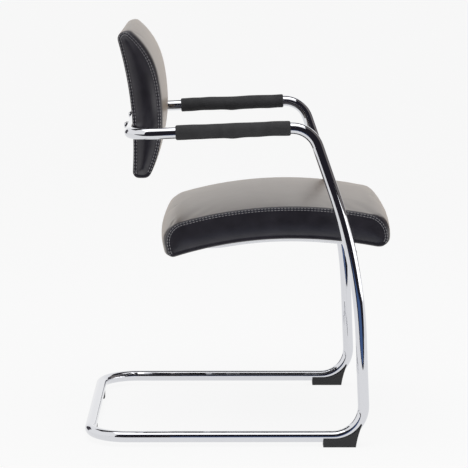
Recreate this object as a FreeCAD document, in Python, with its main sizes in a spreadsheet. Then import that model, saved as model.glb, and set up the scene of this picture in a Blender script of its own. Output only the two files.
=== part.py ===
import FreeCAD, Part
import math
import os
import Sketcher

Vector = FreeCAD.Vector
Rotation = FreeCAD.Rotation
Placement = FreeCAD.Placement

# Cantilever visitor chair, in millimetres.
# The floor is z = 0, the sitter looks along -Y, and +X is the sitter's left.
# The origin is on the floor, under the middle of the chair's width and depth.

doc = FreeCAD.newDocument("cantilever_chair")
sheet = doc.addObject("Spreadsheet::Sheet", "Sizes")

# Driving dimensions
SIZES = (
    ("overall_depth", 602.1, "front of the seat to the back of the base bar"),
    ("frame_half_width", 265.0, "middle plane to the axis of a side tube"),
    ("tube_diameter", 22.0, "main frame tube, outside"),
    ("tube_wall", 2.0, "main frame tube, wall"),
    ("runner_height", 18.5, "floor to the axis of the runners"),
    ("base_corner_radius", 75.0, "bend at the rear corners of the base"),
    ("foot_corner", -244.4, "Y where runner and upright would meet"),
    ("foot_bend_radius", 60.0, "bend from runner to upright"),
    ("lower_lean", 2.5, "lean of the upright above the foot, degrees"),
    ("knee_height", 356.0, "height where the lower and upper leans would meet"),
    ("knee_bend_radius", 957.0, "long bend of the upright"),
    ("upper_lean", 19.2, "lean of the upright below the arm, degrees"),
    ("arm_height", 614.0, "axis of the arm rail above the origin"),
    ("arm_slope", 2.35, "fall of the arm rail to the rear, degrees"),
    ("arm_bend_radius", 52.0, "bend from upright to arm rail"),
    ("back_tube_place", 206.8, "Y of the tube across the back"),
    ("back_corner_radius", 45.0, "bend from arm rail to back tube"),
    ("joint_sleeve_length", 60.0, "spigot inside each butt joint"),
    ("joint_sleeve_wall", 2.0, "spigot wall"),
    ("sleeve_gap", 0.15, "gap round a spigot inside the tube"),
    ("fit_gap", 0.3, "gap between pieces that seat on each other"),
    ("armpad_diameter", 28.6, "foam sleeve, outside"),
    ("armpad_length", 218.0, "foam sleeve along the rail"),
    ("armpad_setback", 0.5, "end of the arm bend to the front of the foam sleeve"),
    ("armpad_end_radius", 3.0, "rounded rim of the foam sleeve"),
    ("armpad_swell_length", 28.0, "small swelling under the sleeve, along it"),
    ("armpad_swell_width", 18.0, "small swelling under the sleeve, across it"),
    ("armpad_swell_depth", 6.0, "half height of the swelling's ellipsoid"),
    ("armpad_swell_height", 1.2, "how far the swelling stands out"),
    ("glide_width", 25.4, "front glide, across the tube"),
    ("glide_rear", -164.0, "Y of the square rear end of the front glide"),
    ("glide_toe", -226.9, "Y of the front glide's toe on the floor"),
    ("glide_rim_drop", 2.0, "saddle rim below the tube axis"),
    ("glide_tip_angle", 33.5, "how far the saddle climbs the foot bend, degrees"),
    ("glide_front_hollow", 1.5, "depth of the hollow front face"),
    ("peg_diameter", 6.0, "peg that holds a glide in the tube"),
    ("peg_reach", 5.0, "peg past the inside of the tube wall"),
    ("glide_peg_place", -194.7, "Y of the front glide's peg"),
    ("rear_glide_place", 140.0, "middle plane to a rear glide"),
    ("rear_glide_length", 26.0, "rear glide along the bar"),
    ("rear_glide_width", 20.0, "rear glide across the bar"),
    ("rear_glide_top", 13.0, "height of the rear glide's saddle rim"),
    ("rear_glide_radius", 3.0, "rounded corners of the rear glide"),
    ("seat_seam_half_width", 215.0, "middle plane to the side seam"),
    ("seat_side_bulge", 13.0, "side panel outside the seam"),
    ("seat_crown", 11.0, "rise and bow of the seat between the seams"),
    ("seat_side_inset", 8.0, "how far the side panel draws in at its face"),
    ("seat_apex", -104.0, "Y of the highest point of the seat"),
    ("seat_edge_height", 397.6, "highest point of the seat's bottom edge"),
    ("seat_side_depth", 62.6, "bottom edge to the highest point of the side seam"),
    ("seat_rear", 139.4, "Y of the rear of the side seam"),
    ("seat_top_radius", 785.0, "curve of the seat seen from the side"),
    ("seat_front_curve", 878.0, "curve of the bottom edge, front half"),
    ("seat_rear_curve", 747.0, "curve of the bottom edge, rear half"),
    ("seat_nose_radius", 45.0, "upper front edge"),
    ("seat_chin_radius", 18.0, "lower front edge"),
    ("seat_tail_radius", 40.2, "upper rear edge"),
    ("seat_heel_radius", 10.0, "lower rear edge"),
    ("seat_heel_lean", 3.5, "lower rear edge in front of the upper one"),
    ("seat_recess", 6.4, "board above the bottom edge of the upholstery"),
    ("seat_board_thickness", 10.0, "moulded plywood"),
    ("seat_board_side", 198.0, "middle plane to the side of the board"),
    ("seat_board_front", -260.7, "Y of the front of the board"),
    ("seat_board_rear", 114.3, "Y of the rear of the board"),
    ("seat_board_corner", 38.0, "plan corner radius of the board"),
    ("dust_cover_thickness", 1.5, "sheet under the board"),
    ("dust_cover_margin", 4.0, "board edge to the edge of the dust cover"),
    ("support_diameter", 20.0, "seat support tubes, outside"),
    ("support_wall", 2.0, "seat support tubes, wall"),
    ("support_leg_place", 130.0, "middle plane to a leg of the seat loop"),
    ("support_rear", 64.8, "Y of the rear bar of the seat loop"),
    ("support_corner_radius", 45.0, "bend at the rear of the seat loop"),
    ("cross_tube_drop", 4.0, "cross tube axis below the legs of the loop"),
    ("plate_thickness", 3.0, "seat mounting plate"),
    ("plate_length", 32.0, "seat mounting plate, front to rear"),
    ("plate_width", 44.0, "seat mounting plate, across"),
    ("plate_corner", 6.0, "corner radius of a mounting plate"),
    ("front_mount_place", -177.7, "Y of the front seat bolts"),
    ("rear_mount_place", 7.3, "Y of the rear seat bolts"),
    ("mount_inset", 26.0, "bolt inside the axis of the loop's leg"),
    ("bolt_diameter", 6.0, "machine bolts"),
    ("bolt_hole_gap", 0.6, "bolt hole over bolt diameter"),
    ("bolt_head_diameter", 12.0, "dome head"),
    ("bolt_head_height", 3.6, "dome head"),
    ("bolt_head_rounding", 2.5, "rounded rim of the dome head"),
    ("bolt_reach", 2.4, "end of a seat bolt past the tee nut's flange"),
    ("bolt_socket", 4.0, "hexagon socket across flats"),
    ("bolt_socket_depth", 2.2, "hexagon socket depth"),
    ("washer_diameter", 16.0, "flat washer"),
    ("washer_thickness", 1.6, "flat washer"),
    ("nut_flange_diameter", 20.0, "tee nut flange"),
    ("nut_flange_thickness", 1.5, "tee nut flange"),
    ("nut_barrel_diameter", 8.0, "tee nut barrel"),
    ("nut_barrel_length", 8.0, "tee nut barrel in the board"),
    ("back_seam_half_width", 185.0, "middle plane to the side seam"),
    ("back_side_bulge", 18.0, "side panel outside the seam"),
    ("back_crown", 4.0, "rise of the back between the seams"),
    ("back_side_inset", 9.0, "how far the side panel draws in at its face"),
    ("back_rise", 189.6, "back tube up to the top of the side seam"),
    ("back_fall", 93.7, "back tube down to the bottom of the pad"),
    ("back_front_rise", 14.4, "back tube up to the foremost point of the side seam"),
    ("back_front_curve", 413.0, "curve of the front above its foremost point, from the side"),
    ("back_lap_curve", 237.6, "curve of the front below its foremost point"),
    ("back_waist_fall", 33.7, "back tube down to the waist of the rear face"),
    ("back_waist_lead", 4.5, "waist of the rear face in front of the back tube's axis"),
    ("back_depth", 55.2, "waist of the rear face to the foremost point of the seam"),
    ("back_rear_curve", 757.0, "hollow curve of the rear face"),
    ("back_brow_radius", 159.0, "long upper front edge"),
    ("back_crest_radius", 14.3, "upper rear edge"),
    ("back_toe_radius", 14.5, "lower front edge"),
    ("back_heel_radius", 12.5, "lower rear edge"),
    ("back_panel_thickness", 9.5, "upholstered rear panel"),
    ("back_shell_thickness", 10.0, "moulded plywood"),
    ("back_shell_side", 168.0, "middle plane to the side of the shell"),
    ("back_shell_fall", 68.5, "back tube down to the bottom of the shell"),
    ("back_shell_rise", 166.5, "back tube up to the top of the shell"),
    ("back_shell_corner", 40.0, "corner radius of shell and rear panel"),
    ("back_panel_margin", 3.0, "shell edge to the edge of the rear panel"),
    ("back_bolt_place", 100.0, "middle plane to a back bolt"),
    ("saddle_length", 18.0, "saddle washer along the tube"),
    ("saddle_width", 16.0, "saddle washer across the tube"),
    ("saddle_thickness", 2.0, "saddle washer at its middle"),
    ("saddle_corner", 3.0, "corner radius of a saddle washer"),
    ("flange_room", 10.3, "free height over a tee nut inside the foam"),
)

for row, (alias, value, note) in enumerate(SIZES, start=1):
    sheet.set("A%d" % row, note)
    sheet.set("B%d" % row, str(value))
    sheet.setAlias("B%d" % row, alias)
doc.recompute()


def size(alias):
    """A driving dimension as it stands in the sheet."""
    return float(sheet.get(alias))


def radians(alias):
    """A driving angle of the sheet in radians."""
    return math.radians(size(alias))


def bind(item, **expressions):
    """Tie properties of an object to cells of the sheet."""
    for name, expression in expressions.items():
        item.setExpression(name, expression)
    return item


def add(kind, name, **expressions):
    """A primitive or a boolean of the document with its sizes tied to the sheet."""
    return bind(doc.addObject(kind, name), **expressions)


def node(label, shape):
    """A sub-part whose shape is worked out with Part's own functions."""
    item = doc.addObject("Part::Feature", label)
    item.Label = label
    item.Shape = shape
    return item


def copies(shape, placements):
    """One compound of separate solids, the same piece at several places."""
    solids = []
    for place in placements:
        solid = shape.copy()
        solid.Placement = place.multiply(shape.Placement)
        solids.append(solid)
    return Part.makeCompound(solids)


def mirrored(shape):
    """The same piece on the other side of the chair."""
    return shape.mirror(Vector(0, 0, 0), Vector(1, 0, 0))


# Bent tubes

# Two ends nearer than this, in mm, are one point
SAME_POINT = 0.01


def bent_path(corners, bends):
    """Straight runs between the corners, joined by tangent arcs of the given radii."""
    edges = []
    start = corners[0]
    for before, corner, after, bend in zip(corners, corners[1:], corners[2:], bends):
        incoming = (corner - before).normalize()
        outgoing = (after - corner).normalize()
        turn = incoming.getAngle(outgoing)
        setback = bend * math.tan(turn / 2)
        entry = corner - incoming * setback
        leave = corner + outgoing * setback
        inward = (outgoing - incoming).normalize()
        middle = corner + inward * (bend / math.cos(turn / 2) - bend)
        if start.distanceToPoint(entry) > SAME_POINT:
            edges.append(Part.LineSegment(start, entry).toShape())
        edges.append(Part.Arc(entry, middle, leave).toShape())
        start = leave
    if start.distanceToPoint(corners[-1]) > SAME_POINT:
        edges.append(Part.LineSegment(start, corners[-1]).toShape())
    return Part.Wire(edges)


def rod(path, radius):
    """A round bar swept along a path."""
    first = path.Edges[0]
    start = first.valueAt(first.FirstParameter)
    direction = first.tangentAt(first.FirstParameter)
    ring = Part.Wire(Part.makeCircle(radius, start, direction))
    return path.makePipeShell([ring], True, False)


def bent_tube(path, radius, wall):
    """A hollow tube swept along a path, open at both ends."""
    return rod(path, radius).cut(rod(path, radius - wall))


tube_radius = size("tube_diameter") / 2
half_width = size("frame_half_width")
base_rear = size("overall_depth") / 2 - tube_radius


def arm_axis_height(y):
    """Height of the arm rail's axis at a place along the chair."""
    return size("arm_height") - y * math.tan(radians("arm_slope"))


def frame_corners(side):
    """Corners of one side of the frame, from the base joint round to the back joint."""
    plane = side * half_width
    lower = math.tan(radians("lower_lean"))
    upper = math.tan(radians("upper_lean"))
    rise = size("knee_height") - size("runner_height")
    knee = size("foot_corner") + rise * lower
    fall = math.tan(radians("arm_slope"))
    arm = (knee + (size("arm_height") - size("knee_height")) * upper) / (1 + fall * upper)
    back = size("back_tube_place")
    return [
        Vector(0, base_rear, size("runner_height")),
        Vector(plane, base_rear, size("runner_height")),
        Vector(plane, size("foot_corner"), size("runner_height")),
        Vector(plane, knee, size("knee_height")),
        Vector(plane, arm, arm_axis_height(arm)),
        Vector(plane, back, arm_axis_height(back)),
        Vector(0, back, arm_axis_height(back)),
    ]


FRAME_BENDS = [
    size("base_corner_radius"),
    size("foot_bend_radius"),
    size("knee_bend_radius"),
    size("arm_bend_radius"),
    size("back_corner_radius"),
]
right_path = bent_path(frame_corners(-1), FRAME_BENDS)
back_axis = frame_corners(-1)[-1]

# Seat and back in side view
# Each outline is a closed chain of circles in the Y-Z plane, taken anticlockwise.
# A circle is (y, z, radius); the radius of a hollow stretch is negative.


def beside(circle, radius, y=None, z=None):
    """A circle of the given radius that runs smoothly into another one.

    One of its centre's coordinates is given, and the other one is found.
    """
    reach = abs(circle[2] - radius)
    if y is not None:
        return (y, circle[1] + math.sqrt(reach ** 2 - (y - circle[0]) ** 2), radius)
    return (circle[0] - math.sqrt(reach ** 2 - (z - circle[1]) ** 2), z, radius)


def between(small, large, radius):
    """A circle round a small one and inside a large one, touching both, on the upper front side."""
    step_y = large[0] - small[0]
    step_z = large[1] - small[1]
    distance = math.hypot(step_y, step_z)
    from_small = radius - small[2]
    from_large = large[2] - radius
    along = (from_small ** 2 - from_large ** 2 + distance ** 2) / (2 * distance)
    across = math.sqrt(from_small ** 2 - along ** 2)
    y = small[0] + (step_y * along + step_z * across) / distance
    z = small[1] + (step_z * along - step_y * across) / distance
    return (y, z, radius)


def junction(first, second):
    """Outward direction where two circles of a chain meet or share a tangent line."""
    step_y = second[0] - first[0]
    step_z = second[1] - first[1]
    distance = math.hypot(step_y, step_z)
    turn = math.acos(max(-1.0, min(1.0, (first[2] - second[2]) / distance)))
    return math.atan2(step_z, step_y) - turn


def chain_wire(circles, x):
    """The closed wire round a chain of circles, in the plane at x."""
    count = len(circles)
    normals = [junction(circles[i], circles[(i + 1) % count]) for i in range(count)]

    def on_circle(circle, angle):
        return Vector(
            x,
            circle[0] + circle[2] * math.cos(angle),
            circle[1] + circle[2] * math.sin(angle),
        )

    joints = []
    for i, circle in enumerate(circles):
        end = on_circle(circle, normals[i])
        start = on_circle(circles[(i + 1) % count], normals[i])
        apart = end.distanceToPoint(start) > SAME_POINT
        joints.append((end, start if apart else end))
    edges = []
    for i, circle in enumerate(circles):
        enter = normals[i - 1]
        sweep = math.remainder(normals[i] - enter, 2 * math.pi)
        start = joints[i - 1][1]
        end, following = joints[i]
        edges.append(Part.Arc(start, on_circle(circle, enter + sweep / 2), end).toShape())
        if following is not end:
            edges.append(Part.LineSegment(end, following).toShape())
    return Part.Wire(edges)


seat_apex = size("seat_apex")


def seat_chain(grow, inset=0.0):
    """The seat in side view: grow is the crown there, inset draws the whole form in."""
    front = size("seat_crown") - size("overall_depth") / 2 - grow
    rear = size("seat_rear") + grow
    lip = size("seat_edge_height")
    front_arc = (seat_apex, lip - size("seat_front_curve"), -size("seat_front_curve"))
    rear_arc = (seat_apex, lip - size("seat_rear_curve"), -size("seat_rear_curve"))
    curve = size("seat_top_radius")
    top_arc = (seat_apex, lip + size("seat_side_depth") - curve, curve + grow)
    chin = size("seat_chin_radius")
    heel = size("seat_heel_radius")
    tail = size("seat_tail_radius")
    nose = size("seat_nose_radius")
    circles = [
        beside(front_arc, chin, y=front + chin),
        front_arc,
        rear_arc,
        beside(rear_arc, heel, y=rear - size("seat_heel_lean") - heel),
        beside(top_arc, tail, y=rear - tail),
        top_arc,
        beside(top_arc, nose, y=front + nose),
    ]
    return [(y, z, radius - inset) for y, z, radius in circles]


back_rear = back_axis.y - size("back_waist_lead")
back_waist = back_axis.z - size("back_waist_fall")


def back_chain(grow, inset=0.0):
    """The back in side view, in the same terms as the seat."""
    curve = size("back_front_curve")
    lap = size("back_lap_curve")
    hollow = size("back_rear_curve")
    top = back_axis.z + size("back_rise") + grow
    bottom = back_axis.z - size("back_fall")
    front = back_rear - size("back_depth")
    foremost = back_axis.z + size("back_front_rise")
    front_arc = (front + curve, foremost, curve + grow)
    lap_arc = (front + lap, foremost, lap + grow)
    rear_arc = (back_rear + hollow, back_waist, -hollow)
    toe = size("back_toe_radius")
    heel = size("back_heel_radius")
    crest = size("back_crest_radius")
    crest_arc = beside(rear_arc, crest, z=top - crest)
    circles = [
        beside(lap_arc, toe, z=bottom + toe),
        beside(rear_arc, heel, z=bottom + heel),
        rear_arc,
        crest_arc,
        between(crest_arc, front_arc, size("back_brow_radius")),
        front_arc,
        lap_arc,
    ]
    return [(y, z, radius - inset) for y, z, radius in circles]


# Across a pad: share of the half width and share of the crown there
CROWN_STATIONS = [(0.0, 1.0), (0.45, 0.93), (0.8, 0.62), (1.0, 0.0)]
# Across a side panel: share of its bulge and share of its inset there
PANEL_STATIONS = [(0.0, 0.0), (0.6, 0.25), (1.0, 1.0)]


def pad(chain, seam, crown, bulge, inset):
    """A stuffed pad: a crowned middle between the seams and a drawn-in panel each side."""
    stations = [(-x, rise) for x, rise in reversed(CROWN_STATIONS[1:])] + CROWN_STATIONS
    middle = Part.makeLoft([chain_wire(chain(crown * rise), x * seam) for x, rise in stations], True)
    panel = Part.makeLoft(
        [chain_wire(chain(0.0, inset * draw), seam + bulge * out) for out, draw in PANEL_STATIONS],
        True,
    )
    return middle.fuse([panel, mirrored(panel)])


def layer(circles, near, far):
    """A curved sheet between two distances from the hollow arcs of a chain.

    The distances grow into the pad. The sheet runs well past the pad on both sides.
    """
    across = size("frame_half_width")
    solids = []
    for y, z, radius in circles:
        outer = Part.makeCylinder(far - radius, 2 * across, Vector(-across, y, z), Vector(1, 0, 0))
        inner = Part.makeCylinder(near - radius, 2 * across, Vector(-across, y, z), Vector(1, 0, 0))
        solids.append(outer.cut(inner))
    return solids


def rounded_block(low, high, corner, axis):
    """A block with four rounded edges along one axis."""
    span = high - low
    block = Part.makeBox(span.x, span.y, span.z, low)
    edges = []
    for edge in block.Edges:
        direction = edge.tangentAt(edge.FirstParameter)
        if abs(direction.dot(axis)) > 0.99:
            edges.append(edge)
    return block.makeFillet(corner, edges)


def seat_layer(near, far, margin):
    """A sheet that follows the hollow underside of the seat, rounded in plan."""
    side = size("seat_board_side") + margin
    front = size("seat_board_front") - margin
    rear = size("seat_board_rear") + margin
    lip = size("seat_edge_height")
    deep = size("seat_side_depth")
    chain = seat_chain(0.0)
    front_sheet, rear_sheet = layer(chain[1:3], near, far)
    outline = rounded_block(
        Vector(-side, front, lip - deep),
        Vector(side, rear, lip + deep),
        size("seat_board_corner") + margin,
        Vector(0, 0, 1),
    )
    reach = size("overall_depth")
    front_half = Part.makeBox(2 * reach, reach, 2 * deep, Vector(-reach, seat_apex - reach, lip - deep))
    rear_half = Part.makeBox(2 * reach, reach, 2 * deep, Vector(-reach, seat_apex, lip - deep))
    front_sheet = front_sheet.common(front_half)
    rear_sheet = rear_sheet.common(rear_half)
    return front_sheet.fuse(rear_sheet).removeSplitter().common(outline)


def back_layer(near, far, margin):
    """A sheet that follows the hollow rear face of the back, rounded in front view."""
    side = size("back_shell_side") + margin
    low = back_axis.z - size("back_shell_fall") - margin
    high = back_axis.z + size("back_shell_rise") + margin
    deep = size("back_depth")
    outline = rounded_block(
        Vector(-side, back_rear - deep, low),
        Vector(side, back_rear + deep, high),
        size("back_shell_corner") + margin,
        Vector(0, 1, 0),
    )
    sheet_solid = layer(back_chain(0.0)[2:3], near, far)[0]
    return sheet_solid.common(outline)


# Fasteners
# Each one is drawn once, along +Z from the face that it bears on, and then placed.

clamped = size("washer_thickness") + size("plate_thickness") + size("dust_cover_thickness")
clamped = clamped + size("seat_board_thickness") + size("nut_flange_thickness") + 2 * size("fit_gap")
bolt_length = clamped + size("bolt_reach")


def dome_bolt(name, length):
    """A dome-headed bolt with a hexagon socket; the head lies below z = 0."""
    head = add("Part::Cylinder", name + "_head", Radius="Sizes.bolt_head_diameter / 2",
               Height="Sizes.bolt_head_height")
    bind(head, **{"Placement.Base.z": "-Sizes.bolt_head_height"})
    shank = add("Part::Cylinder", name + "_shank", Radius="Sizes.bolt_diameter / 2")
    shank.Height = length
    rounded = doc.addObject("Part::Fillet", name + "_dome")
    rounded.Base = head
    doc.recompute()
    rim = [i for i, edge in enumerate(head.Shape.Edges, start=1)
           if edge.Closed and edge.BoundBox.Center.z < -size("bolt_head_height") / 2]
    rounding = size("bolt_head_rounding")
    rounded.Edges = [(i, rounding, rounding) for i in rim]
    whole = doc.addObject("Part::Fuse", name + "_blank")
    whole.Base = rounded
    whole.Tool = shank
    socket = add("Part::Prism", name + "_socket", Height="Sizes.bolt_socket_depth",
                 Circumradius="Sizes.bolt_socket / sqrt(3)")
    socket.Polygon = 6
    bind(socket, **{"Placement.Base.z": "-Sizes.bolt_head_height"})
    bolt = doc.addObject("Part::Cut", name)
    bolt.Base = whole
    bolt.Tool = socket
    doc.recompute()
    return bolt.Shape


def drilled_disc(name, outer, bore, height):
    """A ring given by expressions for its two diameters and its height."""
    disc = add("Part::Cylinder", name + "_disc", Radius=outer + " / 2", Height=height)
    hole = add("Part::Cylinder", name + "_bore", Radius=bore + " / 2", Height=height)
    ring = doc.addObject("Part::Cut", name)
    ring.Base = disc
    ring.Tool = hole
    doc.recompute()
    return ring.Shape


CLEAR_HOLE = "(Sizes.bolt_diameter + Sizes.bolt_hole_gap)"
clear_hole = size("bolt_diameter") + size("bolt_hole_gap")
washer = drilled_disc("washer", "Sizes.washer_diameter", CLEAR_HOLE, "Sizes.washer_thickness")
nut_flange = drilled_disc("nut_flange", "Sizes.nut_flange_diameter", CLEAR_HOLE, "Sizes.nut_flange_thickness")
nut_barrel = drilled_disc("nut_barrel", "Sizes.nut_barrel_diameter", CLEAR_HOLE, "Sizes.nut_barrel_length")
sunk_barrel = nut_barrel.translated(Vector(0, 0, -size("nut_barrel_length")))
tee_nut = nut_flange.fuse(sunk_barrel).removeSplitter()

# Seat mounts
# Every seat fastener stands square to the curved board.

support_radius = size("support_diameter") / 2
plate_level = size("seat_recess") - size("dust_cover_thickness") - 2 * size("fit_gap")


def seat_arc(y):
    """Centre height and radius of the seat's underside at a place along the chair."""
    curve = size("seat_front_curve") if y < seat_apex else size("seat_rear_curve")
    return size("seat_edge_height") - curve, curve


def under_seat_height(y, level):
    """Height of a curve that keeps a level above the bottom edge."""
    centre, curve = seat_arc(y)
    return centre + math.sqrt((curve + level) ** 2 - (y - seat_apex) ** 2)


def under_seat(x, y, level):
    """A place on the line square to the underside at y, with local +Z along that line."""
    centre, curve = seat_arc(y)
    tilt = math.asin((y - seat_apex) / curve)
    point = Vector(x, seat_apex, centre) + Vector(0, math.sin(tilt), math.cos(tilt)) * (curve + level)
    return Placement(point, Rotation(Vector(1, 0, 0), -math.degrees(tilt)))


mount_x = size("support_leg_place") - size("mount_inset")
MOUNTS = [(side * mount_x, y) for side in (-1, 1)
          for y in (size("front_mount_place"), size("rear_mount_place"))]


def at_mounts(level):
    """The places of the four seat bolts at a level above the bottom edge."""
    return [under_seat(x, y, level) for x, y in MOUNTS]


def mount_holes(diameter):
    """Four long pins that drill every piece a seat bolt passes."""
    reach = 2 * bolt_length
    pin = Part.makeCylinder(diameter / 2, 2 * reach, Vector(0, 0, -reach))
    return copies(pin, at_mounts(0.0))


# Seat support tubes

leg_level = plate_level - size("plate_thickness") - support_radius
leg_x = size("support_leg_place")
support_corner = size("support_corner_radius")


def upright_axis_at(height):
    """Y of the upright's axis at a height."""
    level = Part.LineSegment(Vector(-half_width, -base_rear, height), Vector(-half_width, 0, height))
    return right_path.distToShape(level.toShape())[1][0][0].y


cross_y = upright_axis_at(size("seat_edge_height") - tube_radius)
cross_z = under_seat_height(cross_y, leg_level) - size("cross_tube_drop")
cross_y = upright_axis_at(cross_z)


def support_corners():
    """Corners of the seat loop: up a leg, across the rear and back down the other leg."""
    front_curve = size("seat_front_curve")
    rear_curve = size("seat_rear_curve")
    start = Vector(-leg_x, cross_y, under_seat_height(cross_y, leg_level))
    level = size("seat_edge_height") + leg_level
    front_turn = math.asin((seat_apex - cross_y) / (front_curve + leg_level))
    front_corner = seat_apex - (front_curve + leg_level) * math.tan(front_turn / 2)
    rear_turn = math.asin((size("support_rear") - support_corner - seat_apex) / (rear_curve + leg_level))
    rear_corner = seat_apex + (rear_curve + leg_level) * math.tan(rear_turn / 2)
    drop = (size("support_rear") - rear_corner) * math.tan(rear_turn)
    leg = [
        start,
        Vector(-leg_x, front_corner, level),
        Vector(-leg_x, rear_corner, level),
        Vector(-leg_x, size("support_rear"), level - drop),
    ]
    other = [Vector(-point.x, point.y, point.z) for point in reversed(leg)]
    bends = [front_curve + leg_level, rear_curve + leg_level, support_corner]
    return leg + other, bends + bends[::-1]


loop_corners, loop_bends = support_corners()
support_path = bent_path(loop_corners, loop_bends)
cross_bar = Part.makeCylinder(support_radius, 2 * half_width, Vector(-half_width, cross_y, cross_z),
                              Vector(1, 0, 0))

# Frame

right_rod = rod(right_path, tube_radius)
right_bore = rod(right_path, tube_radius - size("tube_wall"))
back_bolt_holes = [
    Part.makeCylinder(clear_hole / 2, 8 * tube_radius, Vector(side * size("back_bolt_place"),
                      back_axis.y - 4 * tube_radius, back_axis.z), Vector(0, 1, 0))
    for side in (-1, 1)
]


def peg_hole(x, y):
    """The hole in the underside of the tube for a glide's peg."""
    radius = size("peg_diameter") / 2 + size("fit_gap")
    return Part.makeCylinder(radius, size("runner_height"), Vector(x, y, 0))


right_frame = right_rod.cut(
    [
        right_bore,
        back_bolt_holes[0],
        peg_hole(-half_width, size("glide_peg_place")),
        peg_hole(-size("rear_glide_place"), base_rear),
    ]
)
node("right_frame_tube", right_frame)
node("left_frame_tube", mirrored(right_frame))


def joint_sleeve(label, centre):
    """The spigot inside a butt joint of the two frame halves."""
    outer = "Sizes.tube_diameter / 2 - Sizes.tube_wall - Sizes.sleeve_gap"
    outside = add("Part::Cylinder", label + "_outside", Radius=outer, Height="Sizes.joint_sleeve_length")
    inside = add("Part::Cylinder", label + "_inside", Radius=outer + " - Sizes.joint_sleeve_wall",
                 Height="Sizes.joint_sleeve_length")
    sleeve = doc.addObject("Part::Cut", label)
    sleeve.Base = outside
    sleeve.Tool = inside
    sleeve.Label = label
    middle = Vector(size("joint_sleeve_length") / 2, 0, 0)
    sleeve.Placement = Placement(centre - middle, Rotation(Vector(0, 1, 0), 90))
    return sleeve


joint_sleeve("base_joint_sleeve", Vector(0, base_rear, size("runner_height")))
joint_sleeve("back_joint_sleeve", back_axis)

cross_bore = Part.makeCylinder(support_radius - size("support_wall"), 2 * half_width,
                               Vector(-half_width, cross_y, cross_z), Vector(1, 0, 0))
node("seat_cross_tube", cross_bar.cut([cross_bore, right_rod, mirrored(right_rod)]))
node("seat_support_loop", bent_tube(support_path, support_radius, size("support_wall")).cut(cross_bar))

# Seat mounting hardware

plate = rounded_block(
    Vector(-size("plate_width") / 2, -size("plate_length") / 2, -size("plate_thickness")),
    Vector(size("plate_width") / 2, size("plate_length") / 2, 0),
    size("plate_corner"),
    Vector(0, 0, 1),
)
plate_x = leg_x - size("plate_width") / 2
plate_places = [under_seat(math.copysign(plate_x, x), y, plate_level) for x, y in MOUNTS]
plates = copies(plate, plate_places).cut(mount_holes(clear_hole))
node("seat_mounting_plates", plates)
washer_level = plate_level - size("plate_thickness")
node("seat_washers", copies(washer, at_mounts(washer_level - size("washer_thickness"))))
seat_bolt = dome_bolt("seat_bolt", bolt_length)
node("seat_bolts", copies(seat_bolt, at_mounts(washer_level - size("washer_thickness"))))
board_top = size("seat_recess") + size("seat_board_thickness")
node("seat_tee_nuts", copies(tee_nut, at_mounts(board_top)))

# Seat

nut_pins = mount_holes(size("nut_barrel_diameter") + 2 * size("fit_gap"))
board = seat_layer(size("seat_recess"), board_top, 0.0).cut(nut_pins)
node("seat_base_board", board)
cover_far = size("seat_recess") - size("fit_gap")
dust_cover = seat_layer(cover_far - size("dust_cover_thickness"), cover_far, -size("dust_cover_margin"))
node("seat_dust_cover", dust_cover.cut(mount_holes(clear_hole)))

seat_pad = pad(seat_chain, size("seat_seam_half_width"), size("seat_crown"),
               size("seat_side_bulge"), size("seat_side_inset"))
seat_pocket = seat_layer(-size("seat_board_thickness"), board_top + size("fit_gap"), size("fit_gap"))
flange_room = Part.makeCylinder(
    size("nut_flange_diameter") / 2 + size("fit_gap"),
    size("nut_flange_thickness") + size("flange_room"),
)
seat_cushion = seat_pad.cut([seat_pocket, copies(flange_room, at_mounts(board_top))])
node("seat_cushion", seat_cushion)

# Back

panel_far = size("back_panel_thickness")
shell_near = panel_far + size("fit_gap")
shell_far = shell_near + size("back_shell_thickness")
groove = Part.makeCylinder(tube_radius + size("fit_gap"), 2 * half_width,
                           Vector(-half_width, back_axis.y, back_axis.z), Vector(1, 0, 0))


def back_face(distance):
    """Y at a distance into the pad from its rear face, at the height of the back tube."""
    curve = size("back_rear_curve")
    return back_rear + curve - math.sqrt((curve + distance) ** 2 - size("back_waist_fall") ** 2)


def at_back_bolts(y):
    """The places of the two back bolts, with local +Z towards the sitter."""
    turn = Rotation(Vector(1, 0, 0), 90)
    return [Placement(Vector(side * size("back_bolt_place"), y, back_axis.z), turn) for side in (-1, 1)]


nut_room = Part.makeCylinder(size("nut_barrel_diameter") / 2 + size("fit_gap"), 8 * tube_radius)
nut_holes = copies(nut_room, at_back_bolts(back_axis.y))
shell = back_layer(shell_near, shell_far, 0.0).cut(nut_holes)
node("back_inner_shell", shell)
rear_panel = back_layer(0.0, panel_far, size("back_panel_margin") - size("fit_gap"))
node("back_rear_panel", rear_panel.cut([groove] + back_bolt_holes))

back_pad = pad(back_chain, size("back_seam_half_width"), size("back_crown"),
               size("back_side_bulge"), size("back_side_inset"))
panel_pocket = back_layer(-panel_far, panel_far + size("fit_gap"), size("back_panel_margin"))
shell_pocket = back_layer(panel_far, shell_far + size("fit_gap"), size("fit_gap"))
nut_y = back_face(shell_far)
back_flange_room = copies(flange_room, at_back_bolts(nut_y + size("fit_gap")))
node("back_cushion", back_pad.cut([panel_pocket, shell_pocket, groove, back_flange_room]))
node("back_tee_nuts", copies(tee_nut, at_back_bolts(nut_y - size("fit_gap"))))

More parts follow.
